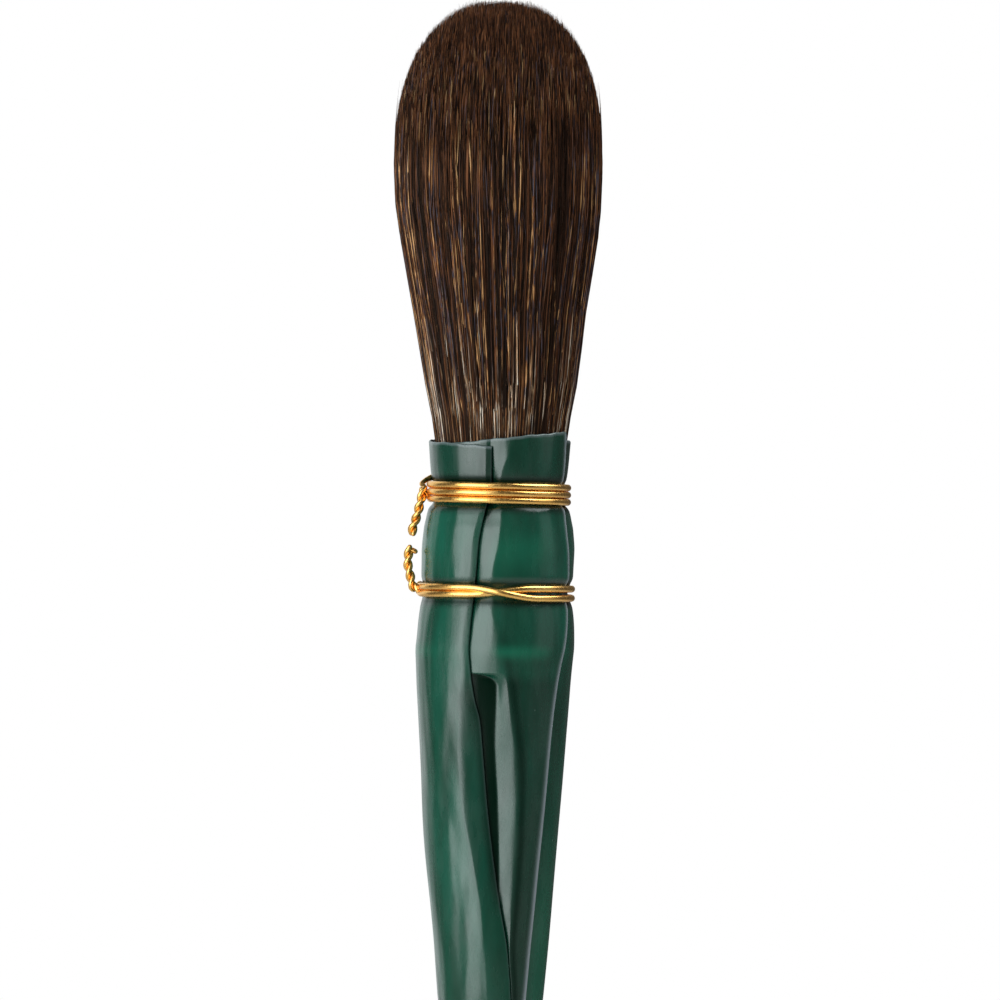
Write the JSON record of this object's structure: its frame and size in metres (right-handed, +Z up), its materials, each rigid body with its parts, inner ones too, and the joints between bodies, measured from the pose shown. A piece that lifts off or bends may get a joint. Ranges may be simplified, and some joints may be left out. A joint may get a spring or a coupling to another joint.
{
  "type": "calligraphy brush",
  "caption": "Large round mop brush: dark hair tuft in a rolled green film sheath bound with twisted brass wire onto a turned wood handle.",
  "frame": {"origin": "middle of the handle's butt end", "axes": "+Z up along the brush from the butt to the hair's tip; -Y is the front, where the front leaf of the sheath is; the wires' twisted ends are on the left, at -X"},
  "size_m": [0.0254, 0.0254, 0.2766],
  "materials": {
    "hair": "dark brown natural hair with lighter glints",
    "thread": "waxed linen thread",
    "resin": "hardened amber resin",
    "film": "glossy dark green film",
    "wire": "bright drawn brass",
    "varnished_wood": "clear gloss varnish over fine grain"
  },
  "bodies": {
    "brush": {"hair_root": "hair", "knot_thread_upper": "thread", "knot_thread_lower": "thread", "resin_stopper": "resin", "sheath_wrap_leaf": "film", "sheath_front_leaf": "film", "upper_binding_wire": "wire", "lower_binding_wire": "wire", "neck_binding_wire": "wire", "tail_binding_wire": "wire", "handle": "varnished_wood"},
    "tuft": {"hair_tuft": "hair"}
  },
  "joints": [
    {"name": "tuft_bend", "type": "hinge", "parent": "brush", "child": "tuft", "pos_m": [0, 0, 0.228], "axis": [0, 1, 0], "range_deg": [-40, 40], "stiffness_Nm_per_rad": 0.05}
  ]
}
